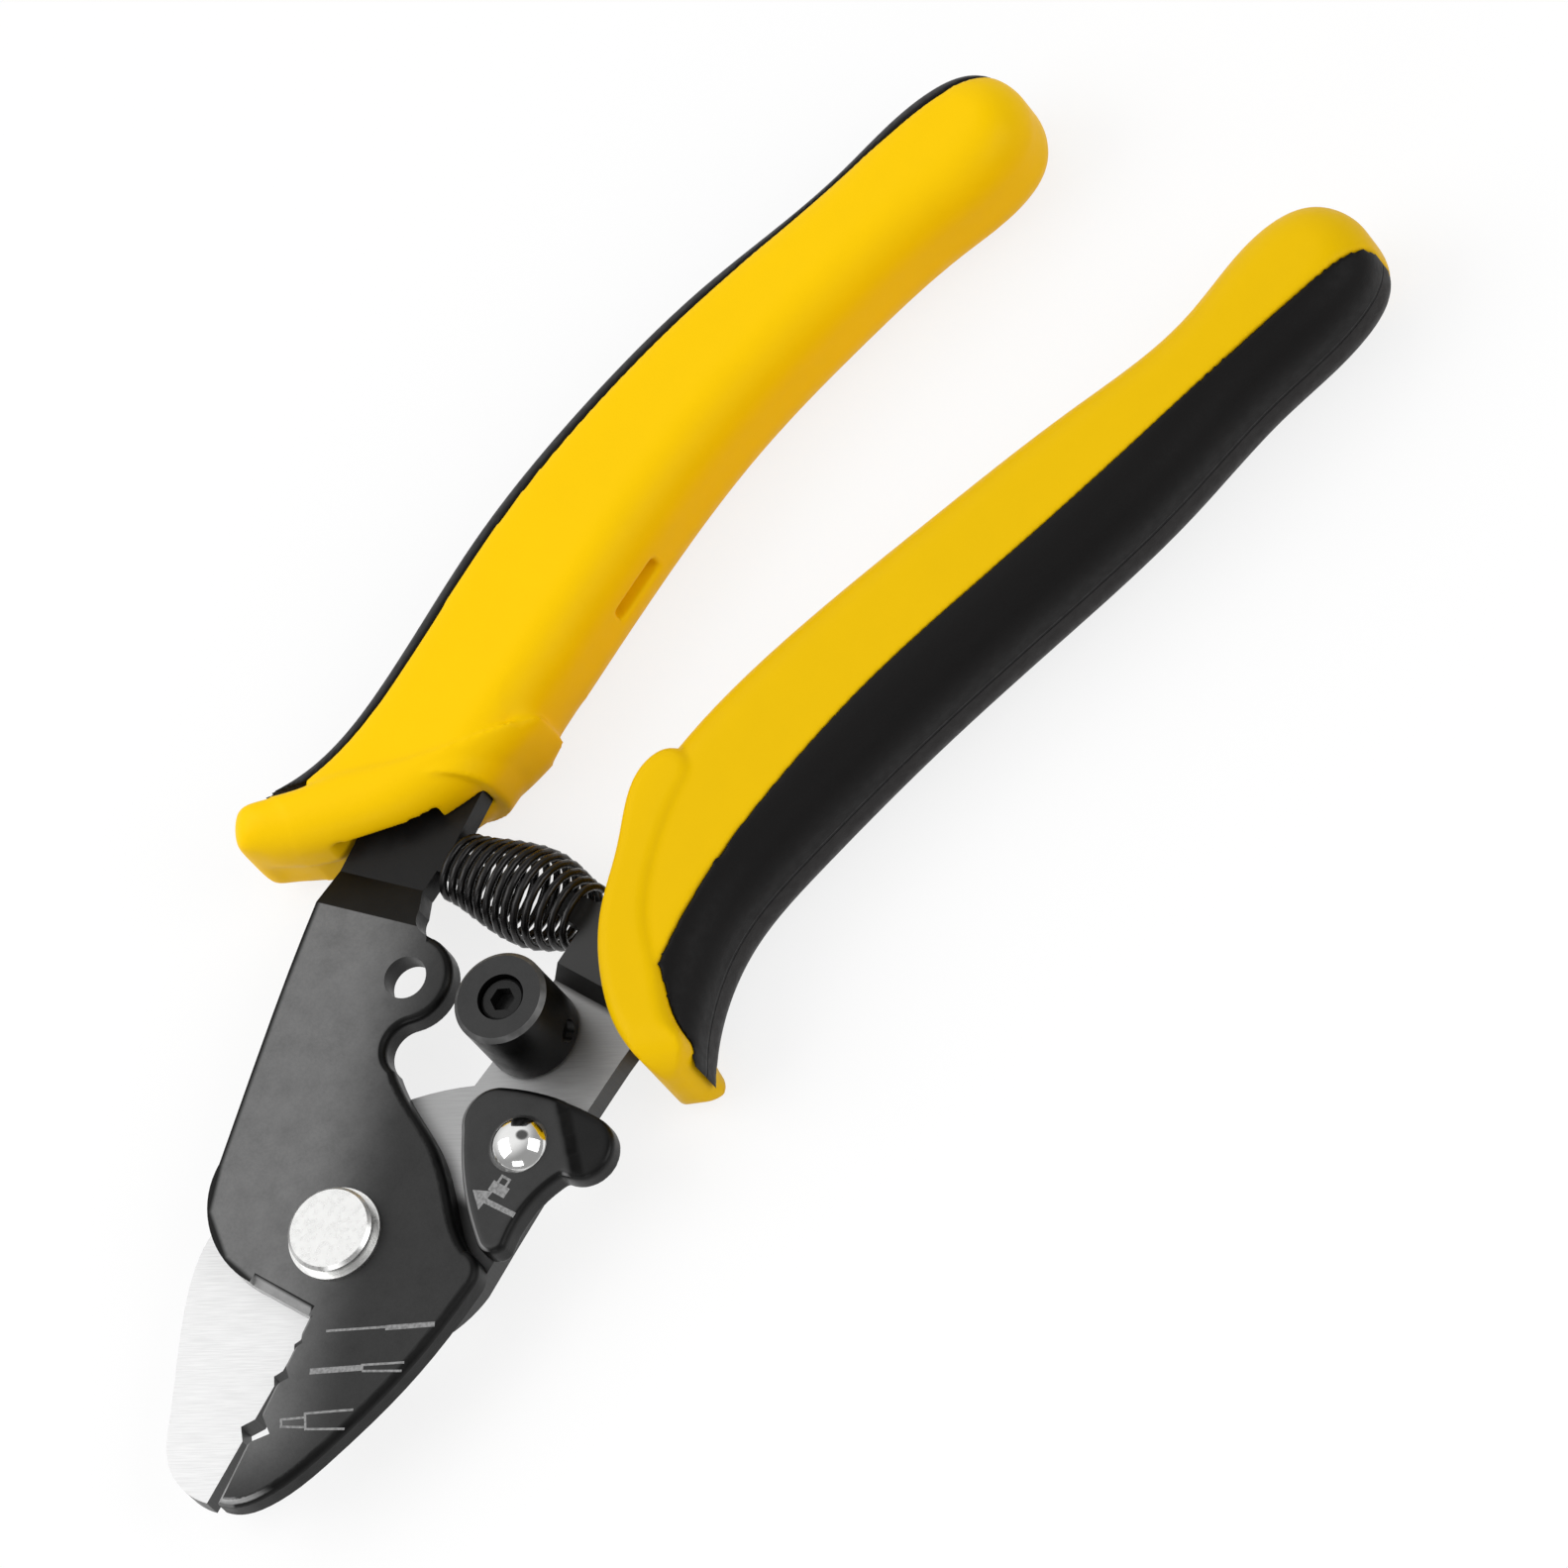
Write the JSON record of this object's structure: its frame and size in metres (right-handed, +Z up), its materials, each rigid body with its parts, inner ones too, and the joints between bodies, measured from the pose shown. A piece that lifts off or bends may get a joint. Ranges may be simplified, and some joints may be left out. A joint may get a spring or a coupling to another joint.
{
  "type": "fibre stripper",
  "caption": "Hand stripper for optical fibre: crossed notched plate jaws on a sprung pivot, thumb lock, round stop, raked finger guards and soft-backed grips.",
  "frame": {"origin": "centre under the tool as it lies flat, on the plane of the finger guards' undersides", "axes": "+X from the blades to the handles, +Y towards the upper jaw's handle, +Z up towards the upper jaw"},
  "size_m": [0.1782, 0.0796, 0.0175],
  "materials": {
    "black_oxide": "black oxide, satin",
    "ground_steel": "ground across the blade",
    "polished_steel": "polished",
    "plated_steel": "zinc plated",
    "black_screw": "black oxide",
    "black_wire": "black oxide wire",
    "yellow_plastic": "satin, hard",
    "soft_black": "satin, soft"
  },
  "bodies": {
    "lower": {"lower_jaw": "ground_steel", "pivot_bolt": "polished_steel", "pivot_washer": "polished_steel", "pivot_nut": "plated_steel", "lock_rivet": "polished_steel", "lock_washer": "plated_steel", "stop_screw": "black_screw", "lower_grip_core": "yellow_plastic", "lower_grip_pad": "soft_black", "return_spring": "black_wire"},
    "upper": {"upper_jaw": "black_oxide", "upper_grip_core": "yellow_plastic", "upper_grip_pad": "soft_black"},
    "lever": {"lock_lever": "black_oxide"},
    "stop": {"stop_sleeve": "black_oxide", "stop_set_screw": "black_screw"}
  },
  "joints": [
    {"name": "jaw_pivot", "type": "hinge", "parent": "lower", "child": "upper", "pos_m": [-0.05795, 0.00152, 0.0075], "axis": [0, 0, 1], "range_deg": [-9.8, 0], "stiffness_Nm_per_rad": 2.6, "springref_deg": 4.41, "deforming": ["return_spring"]},
    {"name": "lock_turn", "type": "hinge", "parent": "lower", "child": "lever", "pos_m": [-0.04025, -0.01128, 0.0075], "axis": [0, 0, 1], "range_deg": [-15.7, 0]},
    {"name": "stop_turn", "type": "hinge", "parent": "lower", "child": "stop", "pos_m": [-0.02858, -0.00367, 0.0075], "axis": [0, 0, 1], "continuous": true}
  ],
  "couplings": [
    {"joint": "lock_turn", "follows": "jaw_pivot", "ratio": 1.6}
  ]
}
